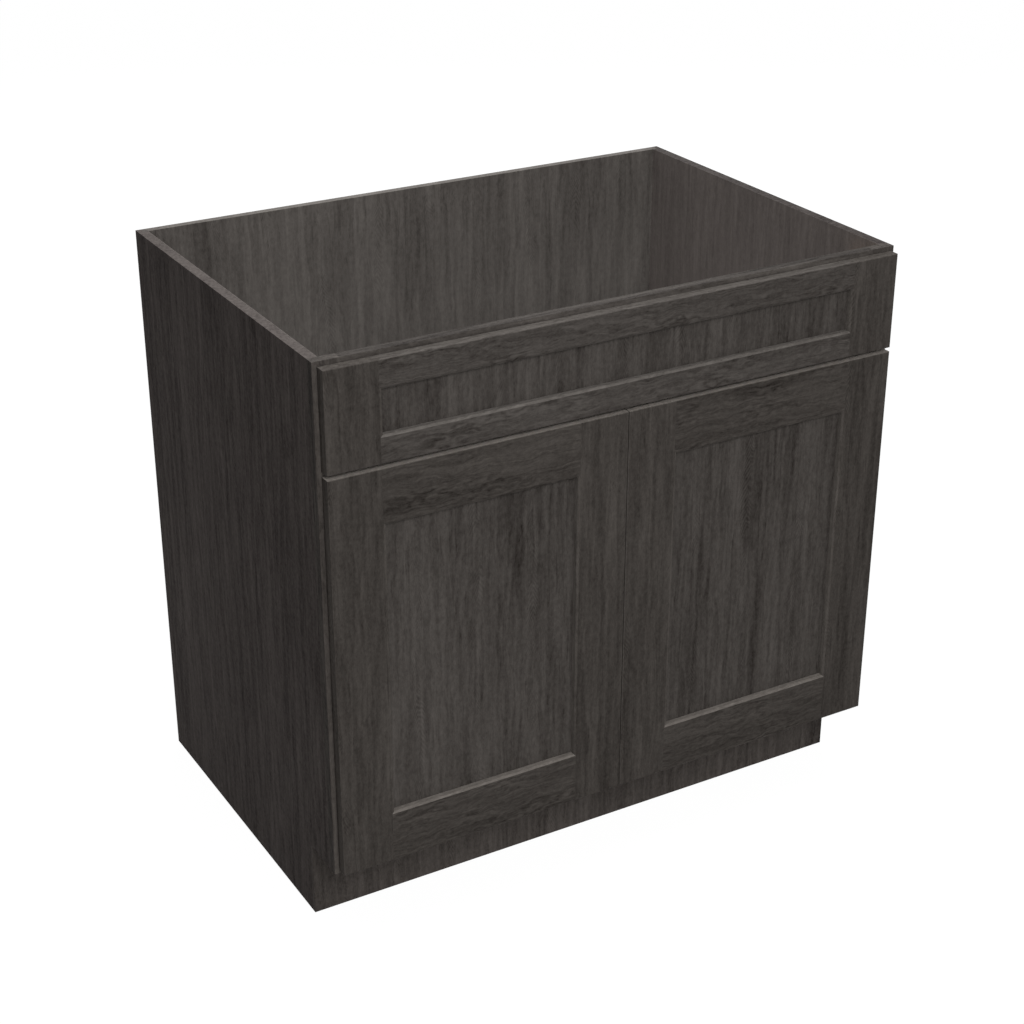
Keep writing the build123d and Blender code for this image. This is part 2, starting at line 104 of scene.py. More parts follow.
class Paint:
    """The nodes of a material, or of the sky, and the ways to add to them."""

    def __init__(self, owner):
        owner.use_nodes = True
        self.owner = owner
        self.tree = owner.node_tree
        self.shader = self.tree.nodes.get("Principled BSDF")

    def put(self, socket, value):
        """Links a wire to a socket, or writes a plain value on it."""
        if isinstance(value, Wire):
            self.tree.links.new(value.socket, socket)
        else:
            socket.default_value = value

    def node(self, kind, settings=None, inputs=None, output=0):
        """Adds any node: its type, its settings, the values or wires of its sockets."""
        made = self.tree.nodes.new(kind)
        for key, value in (settings or {}).items():
            setattr(made, key, value)
        for key, value in (inputs or {}).items():
            if value is not None:
                self.put(made.inputs[key], value)
        return Wire(self, made.outputs[output])

    def place(self, turn=(0, 0, 0), shift=(0, 0, 0)):
        """Object coordinates, turned and then moved."""
        here = self.node("ShaderNodeTexCoord", output="Object")
        return self.node("ShaderNodeMapping", {},
                         {"Vector": here, "Rotation": turn, "Location": shift})

    def noise(self, point, sizes, detail=2.0, rough=0.5, curl=0.0):
        """Soft noise from 0 to 1 whose lumps have these sizes, in metres, along X, Y, Z."""
        scale = tuple(1 / size for size in sizes)
        measured = self.node("ShaderNodeVectorMath", {"operation": "MULTIPLY"},
                             {0: point, 1: scale})
        return self.node("ShaderNodeTexNoise", {},
                         {"Vector": measured, "Scale": 1.0, "Detail": detail,
                          "Roughness": rough, "Distortion": curl})

    def swing(self, point, sizes, detail=2.0, rough=0.5, curl=0.0):
        """The same noise, swinging about 0."""
        return self.noise(point, sizes, detail, rough, curl) - 0.5

    def ramp(self, value, low, high, to_low=0.0, to_high=1.0):
        """Maps the range low..high to to_low..to_high with soft ends."""
        return self.node("ShaderNodeMapRange", {"interpolation_type": "SMOOTHSTEP"},
                         {"Value": value, "From Min": low, "From Max": high,
                          "To Min": to_low, "To Max": to_high})

    def mix(self, share, first, second):
        """A colour between two colours, or past the second where the share is over 1."""
        return self.node("ShaderNodeMix", {"data_type": "RGBA", "clamp_factor": False},
                         {"Factor": share, 6: first, 7: second}, output=2)

    def split(self, point):
        """The three parts of a point or direction."""
        first = self.node("ShaderNodeSeparateXYZ", {}, {0: point})
        return [Wire(self, part) for part in first.socket.node.outputs]

    def bump(self, height, distance, strength=1.0):
        """A Normal from a height map; distance is the relief in metres."""
        return self.node("ShaderNodeBump", {},
                         {"Height": height, "Distance": distance, "Strength": strength})

    def finish(self, **sockets):
        """Writes the shader's own sockets; names use _ for a space."""
        for key, value in sockets.items():
            self.put(self.shader.inputs[key.replace("_", " ")], value)
        return self.owner


def linear(red, green, blue):
    """A colour written as 0..255 screen values, as the shader needs it."""
    return tuple(((c / 255 + 0.055) / 1.055) ** 2.4 for c in (red, green, blue)) + (1.0,)


X, Y, Z = 0, 1, 2                # axes, for the way that a face looks
UPRIGHT = (0, 0, 0)              # a board's length along Z, its face towards Y
UPRIGHT_SIDE = (0, 0, pi / 2)    # length along Z, face towards X
LEVEL = (0, -pi / 2, 0)          # length along X, face towards Y
DEEP = (pi / 2, 0, 0)            # length along Y, face towards Z

# Sizes of the grain's features across, behind and along the board, in metres.
WAVE = (0.05, 0.05, 0.18)        # bends the leaves of veneer, the rings and the arrows
DRIFT = (0.16, 0.16, 0.7)        # moves the rings slowly
SWIRL = (0.013, 0.013, 0.035)    # curls the rings and the arrows
SWAY = (0.025, 0.025, 0.05)      # moves the stripes sideways
SHOWN = (0.03, 0.03, 0.09)       # where rings and arrows show
BROAD = (0.034, 0.034, 0.5)
STRIPE = (0.0095, 0.0095, 0.16)
STREAK = (0.0045, 0.0045, 0.045)
VEIN = (0.0040, 0.0040, 0.075)
MOTTLE = (0.0055, 0.0055, 0.0095)
FLECK = (0.0018, 0.0018, 0.005)
PORE = (0.0010, 0.0010, 0.006)
PATCH = (0.10, 0.10, 0.55)
CLOUD = (0.015, 0.015, 0.021)

SEED_STEP = 1.37                 # how far along the log the next seed's board lies
LEAF = 0.09                      # width of each strip of veneer
LEAF_WAVE = 0.045                # how far its edges wave
RING_WIDTH = 0.009
RING_DRIFT, RING_WAVE, RING_SWIRL = 0.06, 0.020, 0.014      # how far each moves a ring
ARROW_STEP = 0.0085              # from arrow to arrow along the middle of a leaf
ARROW_SLOPE = 2.4                # how sharp an arrow is
ARROW_WAVE, ARROW_SWIRL = 0.03, 0.015
ARROW_FADES = (0.003, 0.012)     # distance from the fold
SHOWN_WHERE = (0.42, 0.66)       # noise at which rings and arrows come and are full
SHOWN_LEAST = 0.1
PORE_OPENS = (0.60, 0.70)        # noise at which a pore begins and is full
RING_PORES = 0.10                # how much more pores there are in a ring's early wood
VEIN_FADES = (0.24, 0.34)        # noise at which a vein is full and ends
CLOUD_CURL = 0.8

MEAN_TONE, MIDDLE_TONE = 0.56, 0.54      # the middle is what contrast leaves as it is
BROAD_TONE, STRIPE_TONE, STREAK_TONE = 0.55, 0.95, 0.25     # how much each lightens it
MOTTLE_TONE, FLECK_TONE = 0.85, 0.35
PORE_TONE, VEIN_TONE = 0.12, 0.18        # and how much these darken it


def sawn_grain(paint, heart, turn, seed, taper, figure, flame, curl, wander, patch, cloud):
    """The tone of a board sliced from a log, and its streaks, mottling, flecks and pores.

    Growth rings are where (distance from the log's heart + taper * length + slow noise)
    / RING_WIDTH is whole, folded at every LEAF as matched veneer is, and curl makes them
    swirl. Down the middle of each fold runs a flame of small arrows, where (length +
    ARROW_SLOPE * distance from the fold) / ARROW_STEP is whole. Over them lie broad
    stripes, narrow streaks, dark veins, mottling and short pores, all drawn out along the
    grain, which sways sideways by up to half of wander, in metres. patch and cloud are
    the shares of wide patches and of a cloudy figure, and seed picks a length of the log.
    """
    grain = paint.place(turn, (-heart[0], -heart[1], seed * SEED_STEP))
    x, y, z = paint.split(grain)
    wave = paint.swing(grain, WAVE)
    drift = paint.swing(grain, DRIFT, detail=1.0)
    swirl = paint.swing(grain, SWIRL)
    folded = (x + wave * LEAF_WAVE).math("PINGPONG", LEAF / 2)
    radius = (folded * folded + y * y) ** 0.5
    bent_radius = (radius + z * taper + drift * RING_DRIFT + wave * RING_WAVE
                   + swirl * (curl * RING_SWIRL))
    ring = (bent_radius / RING_WIDTH).cycle() * 0.5
    along = z + folded * ARROW_SLOPE + wave * ARROW_WAVE + swirl * ARROW_SWIRL
    arrows = (along / ARROW_STEP).cycle() * paint.ramp(folded, *ARROW_FADES, 1.0, 0.0)
    shown = paint.ramp(paint.noise(grain, SHOWN), *SHOWN_WHERE, SHOWN_LEAST, 1.0)

    sway = paint.swing(grain, SWAY)
    swayed = paint.node("ShaderNodeCombineXYZ", {}, {0: x + sway * wander, 1: y, 2: z})
    broad = paint.swing(grain, BROAD)
    stripe = paint.swing(swayed, STRIPE, detail=3.0, curl=curl)
    streak = paint.swing(swayed, STREAK, curl=curl)
    mottle = paint.swing(swayed, MOTTLE, detail=4.0, rough=0.75)
    fleck = paint.swing(grain, FLECK, rough=0.6)
    pore = paint.noise(grain, PORE, detail=1.0)
    pores = paint.ramp(pore - ring * RING_PORES, *PORE_OPENS)
    vein = paint.noise(swayed, VEIN, detail=1.0, curl=curl)
    veins = paint.ramp(vein, *VEIN_FADES, 1.0, 0.0)
    tone = (MEAN_TONE + broad * BROAD_TONE + stripe * STRIPE_TONE + streak * STREAK_TONE
            + mottle * MOTTLE_TONE + fleck * FLECK_TONE
            + (ring * figure + arrows * flame) * shown - pores * PORE_TONE - veins * VEIN_TONE)
    if patch:
        tone = tone + paint.swing(grain, PATCH, detail=1.0) * patch
    if cloud:
        tone = tone + paint.swing(grain, CLOUD, curl=CLOUD_CURL) * cloud
    return tone, streak, mottle, fleck, pores


STAIN_DARK = linear(38.2, 34.3, 31.9)
STAIN_LIGHT = linear(78.8, 74.8, 71.6)
BARE_DARK = linear(150, 122, 90)
BARE_LIGHT = linear(212, 186, 150)
SIDE = cad_box[1][0]             # outer face of the right side
RIM = cad_box[1][2]
WITHIN = (SIDE - 0.0148, SIDE - 0.0144)       # the painted light inside the cabinet ends within a side's thickness
SHADED = 0.2                     # depth below the rim over which the painted light inside grows
END = 0.07                       # length of a board's end over which painted shade darkens it
EASED = (0.80, 0.97)             # largest part of the normal, on a bevel and on a face
# The part of a normal along some way at which the amount for a bevel that leans that
# way, a square face that looks that way and a bare face begins and is full.
LEANS, LOOKS, LOOKS_BARE = (0.12, 0.34), (0.8, 1.0), (0.6, 0.9)
PATCHY, STREAK_PATCHY, MOTTLE_PATCHY = 0.75, 0.8, 0.6       # how unevenly the worn edges and the painted light and shade lie
WORN_THIN = 0.18                 # how much thinner the stain is on an eased edge
PAINTED_LIGHT_GAIN = 1.33                   # how much lighter each 1 of painted light makes the stain
SATIN, PORE_ROUGH, FLECK_ROUGH = 0.74, 0.16, 0.12
SHINE = 0.04
STREAK_RELIEF, FLECK_RELIEF, PORE_RELIEF = 0.4, 0.2, 0.6    # shares of the relief
RELIEF = 0.0002                  # metres
RELIEF_STRENGTH = 0.4


def oak(name, heart, turn=UPRIGHT, dark=STAIN_DARK, light=STAIN_LIGHT, seed=0, taper=0.07,
        figure=0.14, flame=0.12, curl=0.7, wander=0.007, patch=0.0, cloud=0.0,
        contrast=1.15, inside_painted_light=0.0, deeper_painted_light=0.0, end_painted_shade=0.0, painted_light_and_shade=(), bare_side=None):
    """Open-grained wood, stained and lacquered.

    heart is the place of the log's middle across and behind the board's face, in the
    board's turned frame, in metres; sawn_grain explains the values up to cloud. The
    stain is worn thinner on every eased edge, where no part of the normal is near 1.
    inside is painted light: how much lighter the stain is on the faces within the
    cabinet, against the shade there, and deeper how much lighter still with each metre
    below the rim. ends is painted shade: how much darker it is towards the cabinet's
    sides. thin lists painted light by the way that a face looks: an axis, a sign, how
    much lighter the stain is on a face that looks that way, darker where this is below
    0, and how much on a bevel that leans that way. bare_side is an axis and a sign: the
    face that looks that way has no stain.
    """
    paint = Paint(bpy.data.materials.new(name))
    tone, streak, mottle, fleck, pores = sawn_grain(paint, heart, turn, seed, taper, figure,
                                                    flame, curl, wander, patch, cloud)
    tone = (tone - MIDDLE_TONE) * contrast + MIDDLE_TONE
    share = tone
    if inside_painted_light or end_painted_shade:
        here = paint.split(paint.place())
        off_middle = here[X].math("ABSOLUTE")
    # Painted light inside the cabinet, lighter further below the rim, against the shade that
    # falls in it.
    if inside_painted_light:
        sunk = (RIM - here[Z]).math("MINIMUM", SHADED)
        within = paint.ramp(off_middle, *WITHIN, 1.0, 0.0)
        share = share + within * (sunk * deeper_painted_light + inside_painted_light)
    # Painted shade towards the cabinet's sides, where more light reaches the board's ends.
    if end_painted_shade:
        share = share - paint.ramp(off_middle, SIDE - END, SIDE, 0.0, end_painted_shade)
    facing = paint.split(paint.node("ShaderNodeTexCoord", output="Normal"))
    squarest = facing[Z].math("ABSOLUTE")
    for axis in (X, Y):
        squarest = facing[axis].math("ABSOLUTE").math("MAXIMUM", squarest)
    worn = paint.ramp(squarest, *EASED, 1.0, 0.0)
    # This unevenness scales the worn edges and the painted light and shade alike.
    patchy_wear_and_light = PATCHY + streak * STREAK_PATCHY + mottle * MOTTLE_PATCHY
    share = share + worn * patchy_wear_and_light * WORN_THIN
    # Painted light and shade: each listed way that a face looks makes it lighter, or darker
    # where the amount is below 0.
    for axis, sign, square, bevel in painted_light_and_shade:
        look = facing[axis] * sign
        amount = (paint.ramp(look, *LEANS, 0.0, bevel)
                  + paint.ramp(look, *LOOKS, 0.0, square - bevel))
        share = share + amount * patchy_wear_and_light * PAINTED_LIGHT_GAIN
    colour = paint.mix(share, dark, light)
    if bare_side:
        axis, sign = bare_side
        unstained = paint.ramp(facing[axis] * sign, *LOOKS_BARE)
        colour = paint.mix(unstained, colour, paint.mix(tone, BARE_DARK, BARE_LIGHT))
    relief = streak * STREAK_RELIEF + fleck * FLECK_RELIEF - pores * PORE_RELIEF
    return paint.finish(Base_Color=colour,
                        Roughness=SATIN + pores * PORE_ROUGH + fleck * FLECK_ROUGH,
                        Specular_IOR_Level=SHINE,
                        Normal=paint.bump(relief, RELIEF, RELIEF_STRENGTH))


def dress(node, material):
    """Gives a CAD node its finished material."""
    for slot in nodes[node].material_slots:
        slot.material = material


# The sides' stain is darker than the rest: painted shade on their outer faces. Their inner faces
# get painted light against the shade in the cabinet.
side_wood = dict(turn=UPRIGHT_SIDE, dark=linear(30.0, 24.5, 23.1),
                 light=linear(67.8, 62.5, 60.2), patch=0.3, cloud=0.25, contrast=1.6,
                 inside_painted_light=1.4, deeper_painted_light=5.0)
LEFT_TOP, RIGHT_TOP = (0.95, 0.43), (0.23, 0.0)     # painted light on the sides' top edges, on a square face and on a bevel

dress("side_panel_left", oak("oak_side_left", (0.02, -SIDE + 0.05), seed=1,
                             painted_light_and_shade=((Z, 1, *LEFT_TOP),), **side_wood))
dress("side_panel_right", oak("oak_side_right", (0.05, SIDE - 0.05), seed=2,
                              painted_light_and_shade=((Z, 1, *RIGHT_TOP),), **side_wood))

# --------------------------------------------------------------------------------------
# Floor and back. The same veneered plywood: the floor lies in grooves in the sides, the
# back in rabbets. Both are stained inside the cabinet and bare where nobody looks.
# --------------------------------------------------------------------------------------
WALL = cad_box[1][1]             # outer face of the back
# Painted light on the back's top edge, on a square face and on a bevel.
BACK_TOP = (0.90, 0.54)

dress("floor_panel", oak("oak_floor", (0.03, -0.20), DEEP, seed=3, bare_side=(Z, -1)))
# The back's inner face gets painted light against the shade inside the cabinet.
dress("back_panel", oak("oak_back", (0.02, WALL + 0.03), seed=4, patch=0.7, contrast=1.5,
                        inside_painted_light=0.45, deeper_painted_light=3.0, painted_light_and_shade=((Z, 1, *BACK_TOP),),
                        bare_side=(Y, 1)))

# --------------------------------------------------------------------------------------
# Toe kick. A thin finished board runs the full width over a plain plywood one, with a
# bearer on edge behind it under the floor.
# --------------------------------------------------------------------------------------
bare_wood = dict(heart=(0.1, 0.2), dark=BARE_DARK, light=BARE_LIGHT)
plain_level = oak("bare_wood_level", turn=LEVEL, seed=7, **bare_wood)
plain_deep = oak("bare_wood_deep", turn=DEEP, seed=8, **bare_wood)

# The toe board's stain is lighter than the doors': painted light against the shade under the
# doors.
dress("toe_kick_cover", oak("oak_toe", (0.03, -0.17), dark=linear(42, 38, 36),
                            light=linear(86, 81, 77.5), seed=5, end_painted_shade=0.22))
dress("toe_kick_board", plain_level)
dress("floor_support", plain_deep)

# --------------------------------------------------------------------------------------
# Corner blocks. Bare plywood triangles glued behind the top of the face frame, bored for
# the screws that hold the countertop.
# --------------------------------------------------------------------------------------
for side in ("left", "right"):
    dress("corner_block_" + side, plain_level)

# --------------------------------------------------------------------------------------
# Face frame. Solid oak stiles and rails, butted and drawn together by screws in slanting
# pockets cut in the back of the rails.
# --------------------------------------------------------------------------------------
FRONT = cad_box[0][1]            # face of the closed doors
FRAME_HEART = 0.08               # depth of the log's heart behind the doors' face
STILE_HEART = 0.028              # how far outside a stile's left edge it lies
STILE_EDGE, RAIL_TOP = (-0.4, 0.0), (-0.37, 0.0)    # painted shade: the stain is darker on these faces
# The frame's stain is lighter than the doors': painted light against the shade that the doors
# and the false front cast on it.
frame_stile_wood = dict(dark=linear(41, 37.5, 35.5), light=linear(86, 81, 77))
frame_rail_wood = dict(turn=LEVEL, dark=linear(44, 40.2, 37.8), light=linear(93, 88, 84))

for i, (side, outward) in enumerate((("left", -1), ("right", 1))):
    node = "frame_stile_" + side
    low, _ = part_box(node)
    dress(node, oak("oak_" + node, (low.x - STILE_HEART, FRONT + FRAME_HEART), seed=9 + i,
                    painted_light_and_shade=((X, outward, *STILE_EDGE),), **frame_stile_wood))
for i, level in enumerate(("top", "middle", "bottom")):
    node = f"frame_{level}_rail"
    low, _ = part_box(node)
    dress(node, oak("oak_" + node, (-low.z, FRONT + FRAME_HEART), seed=11 + i,
                    painted_light_and_shade=((Z, 1, *RAIL_TOP),), **frame_rail_wood))

# --------------------------------------------------------------------------------------
# False drawer front and doors. Five pieces each: stiles upright, rails coped between
# them, and a flat veneered panel that floats in their grooves. All stained and lacquered
# like the frame. Every piece is cut from a board of its own.
# --------------------------------------------------------------------------------------
# Painted light on faces that look some way, or painted shade where below 0: on a square face and
# on a bevel
FALSE_TOP, DOOR_TOP = (0.46, 0.05), (4.2, 0.9)
FALSE_LEDGE, DOOR_LEDGE = (1.4, 0.9), (2.4, 1.7)    # under the panel
IN_RECESS = (1.2, 0.3)           # stiles' edges beside the panel
OUTER_EDGE = (-0.1, 0.0)         # stiles' outer edges
MEETING_EDGE = (1.0, 0.4)        # stiles' edges where the doors meet
# From the middle of a piece, and from the front's face, to the heart of its log
STILE_ABOUT, RAIL_ABOUT, PANEL_ABOUT = (0.05, 0.06), (0.01, 0.05), (-0.01, 0.035)
stile_wood = dict(dark=linear(35.2, 31.7, 29.3), light=linear(73.8, 69.6, 66.1))
rail_grain = dict(turn=LEVEL, taper=0.05, figure=0.34, flame=0.0, curl=2.2, wander=0.024)

fronts = (
    ("false_front", ("stile_left", OUTER_EDGE), ("stile_right", OUTER_EDGE),
     FALSE_TOP, FALSE_LEDGE, {}),
    ("left_door", ("hinge_stile", OUTER_EDGE), ("meeting_stile", MEETING_EDGE),
     DOOR_TOP, DOOR_LEDGE, stile_wood),
    ("right_door", ("meeting_stile", MEETING_EDGE), ("hinge_stile", OUTER_EDGE),
     DOOR_TOP, DOOR_LEDGE, stile_wood),
)
seed = 20
for front, left, right, on_top, on_ledge, rail_wood in fronts:
    for (piece, on_edge), inward in ((left, 1), (right, -1)):
        node = f"{front}_{piece}"
        low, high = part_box(node)
        middle = (low + high) / 2
        heart = (middle.x + STILE_ABOUT[0], FRONT + STILE_ABOUT[1])
        painted_light_and_shade = (Z, 1, *on_top), (X, inward, *IN_RECESS), (X, -inward, *on_edge)
        dress(node, oak("oak_" + node, heart, seed=seed, painted_light_and_shade=painted_light_and_shade, **stile_wood))
        seed += 1
    for piece, amount in (("top_rail", on_top), ("bottom_rail", on_ledge)):
        node = f"{front}_{piece}"
        low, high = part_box(node)
        middle = (low + high) / 2
        heart = (-middle.z + RAIL_ABOUT[0], FRONT + RAIL_ABOUT[1])
        dress(node, oak("oak_" + node, heart, seed=seed, painted_light_and_shade=((Z, 1, *amount),),
                        **rail_wood, **rail_grain))
        seed += 1
    node = front + "_panel"
    low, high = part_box(node)
    middle = (low + high) / 2
    heart = (middle.x + PANEL_ABOUT[0], FRONT + PANEL_ABOUT[1])
    dress(node, oak("oak_" + node, heart, seed=seed, patch=0.35))
    seed += 1

# --------------------------------------------------------------------------------------
# Bumpers and spacers. Clear soft plastic pads stuck to the backs of the doors, which
# they stop, and discs that hold the false front in line with the doors.
# --------------------------------------------------------------------------------------
HAZE = (0.004, 0.004, 0.004)     # size of the cloudy patches in the plastic, metres
GRIT = (0.0004, 0.0004, 0.0004)  # size of the moulded skin's bumps
GRIT_RELIEF = 0.00005
PLASTIC_ROUGH, GRIT_ROUGH = 0.32, 0.12


def plastic(name):
    """Clear soft plastic, a little cloudy, with a fine moulded skin."""
    paint = Paint(bpy.data.materials.new(name))
    point = paint.place()
    grit = paint.noise(point, GRIT, detail=1.0)
    haze = paint.noise(point, HAZE)
    return paint.finish(Base_Color=paint.mix(haze, linear(196, 197, 190), linear(224, 225, 220)),
                        Roughness=PLASTIC_ROUGH + grit * GRIT_ROUGH,
                        Transmission_Weight=0.55, IOR=1.49,
                        Normal=paint.bump(grit, GRIT_RELIEF))


ROUND = 32                       # points round a ring
SAME_POINT = 1e-7                # metres
SHARP = radians(38)              # edges that turn more than this look sharp


def skin(name, rings, body, stands_for, material):
    """One mesh from rings of points, shape (pieces, rings, points round, 3).

    Each point joins its neighbours round the ring and on the next ring. The first and
    last ring of every piece have shrunk to a point, which closes it.
    """
    count, rows, points, _ = rings.shape
    row, column = np.meshgrid(np.arange(rows - 1), np.arange(points), indexing="ij")
    after = (column + 1) % points
    quads = np.stack([row * points + column, row * points + after,
                      (row + 1) * points + after, (row + 1) * points + column], axis=-1)
    quads = quads.reshape(1, -1, 4) + np.arange(count).reshape(-1, 1, 1) * rows * points
    mesh = bpy.data.meshes.new(name)
    mesh.from_pydata(rings.reshape(-1, 3).tolist(), [], quads.reshape(-1, 4).tolist())
    work = bmesh.new()
    work.from_mesh(mesh)
    bmesh.ops.remove_doubles(work, verts=work.verts, dist=SAME_POINT)
    bmesh.ops.recalc_face_normals(work, faces=work.faces)
    work.to_mesh(mesh)
    work.free()
    mesh.shade_smooth()
    mesh.set_sharp_from_angle(angle=SHARP)
    mesh.materials.append(material)
    piece = bpy.data.objects.new(name, mesh)
    bpy.context.scene.collection.objects.link(piece)
    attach(piece, body)
    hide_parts(stands_for)


def spokes(out, turn=0.0):
    """Directions across an axis, evenly round it: across * cos + aside * sin."""
    across = np.cross(out, (0.0, 0.0, 1.0))
    across /= np.linalg.norm(across)
    aside = np.cross(out, across)
    angle = np.arange(ROUND) * 2 * pi / ROUND + turn
    return np.cos(angle)[:, None] * across + np.sin(angle)[:, None] * aside


def turned(profile, seats, out):
    """Rings of round pieces: a profile of (radius, height) turned about an axis.

    A point is seat + height * out + radius * spoke.
    """
    profile = np.array(profile) / 1000
    seats = np.array(seats) / 1000
    out = np.array(out, dtype=float)
    ring = profile[:, None, :1] * spokes(out) + profile[:, None, 1:] * out
    return seats[:, None, None, :] + ring[None]


# Millimetres
DOOR_BACK = -297.8               # back of the closed doors and the false front
PAD_X = 8.75                     # middle of the cabinet to the middle of a pad
PAD_HEIGHTS = (128.65, 713.5)    # the lower and the upper pad of each door
PAD_RADIUS, PAD_EDGE = 4.5, 0.5  # the pad's straight edge, and above it
DOME_RADIUS, DOME = 2.9, 1.2     # its rounding, which leaves a flat crown
DOME_RINGS = 8
BACKWARD = (0, 1, 0)

bow = np.linspace(0, pi / 2, DOME_RINGS)
dome = zip(PAD_RADIUS - DOME_RADIUS + DOME_RADIUS * np.cos(bow), PAD_EDGE + DOME * np.sin(bow))
pad = [(0.0, 0.0), (PAD_RADIUS, 0.0), (PAD_RADIUS, PAD_EDGE), *dome, (0.0, PAD_EDGE + DOME)]
clear = plastic("clear_plastic")
for side, sign in (("left", -1), ("right", 1)):
    seats = [(sign * PAD_X, DOOR_BACK, z) for z in PAD_HEIGHTS]
    skin(f"{side}_door_pads", turned(pad, seats, BACKWARD), f"{side}_door",
         f"{side}_door_bumpers", clear)
dress("false_front_spacers", clear)

# --------------------------------------------------------------------------------------
# Hinges. Pressed steel cups and arms, nickel plated and brushed, with a steel pin through
# each cup. The cups are screwed to the doors and the arms to the frame stiles.
# --------------------------------------------------------------------------------------
ROLLING_MARKS = (0.0004, 0.0004, 0.02)   # metres
DULL_PATCHES = (0.012, 0.012, 0.012)
MARKS_RELIEF = 0.00003
MARKS_ROUGH, DULL_ROUGH = 0.14, 0.12


def plate(name, light, dark, metal_rough):
    """Plated steel with faint rolling marks and a few dull patches."""
    paint = Paint(bpy.data.materials.new(name))
    point = paint.place()
    marks = paint.swing(point, ROLLING_MARKS)
    dull = paint.noise(point, DULL_PATCHES)
    rough = metal_rough + marks * MARKS_ROUGH + (dull - 0.5) * DULL_ROUGH
    return paint.finish(Base_Color=paint.mix(dull, dark, light), Metallic=1.0,
                        Roughness=rough, Normal=paint.bump(marks, MARKS_RELIEF))


nickel = plate("nickel_plate", linear(214, 211, 204), linear(186, 183, 176), 0.40)
for side in ("left", "right"):
    for level in ("lower", "upper"):
        for piece in ("cup", "arm", "pin"):
            dress(f"{side}_{level}_hinge_{piece}", nickel)

# --------------------------------------------------------------------------------------
# Screws. Zinc plated wood screws in the frame's pockets, the hinges, the false front and
# the back. All have a cross recess; those of the cups and of the back have flat heads.
# --------------------------------------------------------------------------------------
zinc = plate("zinc_plate", linear(204, 206, 210), linear(168, 171, 178), 0.36)
PITCH = 1.6                      # thread, millimetres
THREAD_DEPTH = 0.28              # of the shank's radius
THREAD_RINGS = 6                 # rings of points on each turn of the thread
TIP = 4                          # length of the pointed tip, in shank radii
NECK, NECK_FADE = 3, 2           # how far below the head the thread starts to fade, and
                                 # over how much, in shank radii
CROWN_FLAT = 0.72                # of the head's radius, flat on a round head
FLAT_EDGE = 0.0003               # straight edge of a flat head, metres
HEAD_RINGS = 7                   # from the rim of a round head to its flat
TURN_STEP, TURN_EVERY = 0.7, 7   # radians for each millimetre of height, over 7 mm
DRIVE_REACH = 0.62               # of the head's radius, each arm of the cross recess
DRIVE_WIDTH = 0.14               # half width of an arm, of the head's radius
DRIVE_MOUTH, DRIVE_TAPER = 1.02, 0.94    # of the cross, at its top and half way down
DRIVE_DEEPEST = 0.55             # of the head's radius
DRIVE_DEPTH = 0.8                # of the head's height
ROUND_DEEPER = 0.0006            # how much deeper a round head's recess is, metres
NEVER_ZERO = 1e-9


def screws(name, body, seats, directions, size, flat, stands_for):
    """Wood screws with a cross recess, all of one size.

    size is the shank's radius and length and the head's radius and height, in
    millimetres. Rings run from the point up the shank, round the head and down into the
    recess. On the shank the radius is r * (1 - depth * saw(height / pitch + turn)),
    which winds the thread; the recess rings follow the outline of a cross, the larger at
    every angle of two crossed bars min(reach / |cos|, width / |sin|) and its quarter
    turn. Each screw is turned by a different angle, as screws are left.
    """
    shank, length, head, height = (value / 1000 for value in size)
    angle = np.arange(ROUND) * 2 * pi / ROUND
    rows = int(length * 1000 / PITCH * THREAD_RINGS)
    depth = np.linspace(-length, -height if flat else 0.0, rows)
    point = np.clip((depth + length) / (TIP * shank), 0, 1)
    winding = depth[:, None] / (PITCH / 1000) - angle[None, :] / (2 * pi)
    saw = np.abs(2 * (winding % 1) - 1)
    bare = np.clip((depth - depth[-1] + NECK * shank) / (NECK_FADE * shank), 0, 1)
    radius = shank * point[:, None] * (1 - THREAD_DEPTH * saw * (1 - bare)[:, None])
    top = 0.0 if flat else height
    if flat:
        under = [(head, -FLAT_EDGE), (head, 0.0)]
    else:
        bow = np.linspace(0, pi / 2, HEAD_RINGS)
        crown = head * (CROWN_FLAT + (1 - CROWN_FLAT) * np.cos(bow))
        under = [(head, 0.0), *zip(crown, height * np.sin(bow))]
    cos, sin = np.abs(np.cos(angle)) + NEVER_ZERO, np.abs(np.sin(angle)) + NEVER_ZERO
    reach, width = head * DRIVE_REACH, head * DRIVE_WIDTH
    cross = np.maximum(np.minimum(reach / cos, width / sin),
                       np.minimum(width / cos, reach / sin))
    deep = min(head * DRIVE_DEEPEST, height * DRIVE_DEPTH + (0.0 if flat else ROUND_DEEPER))
    ones = np.ones(ROUND)
    rings = [(0 * ones, -length), *zip(radius, depth), *((r * ones, h) for r, h in under),
             (cross * DRIVE_MOUTH, top), (cross * DRIVE_TAPER, top - 0.5 * deep),
             (width * ones, top - deep), (0 * ones, top - deep)]
    radii = np.array([r for r, _ in rings])[:, :, None]
    heights = np.array([h for _, h in rings])[:, None, None]
    built = []
    for seat, direction in zip(seats, directions):
        out = -np.array(direction, dtype=float)
        turn = TURN_STEP * (seat[2] % TURN_EVERY)
        built.append(np.array(seat) / 1000 + radii * spokes(out, turn) + heights * out)
    skin(name, np.array(built), body, stands_for, zinc)


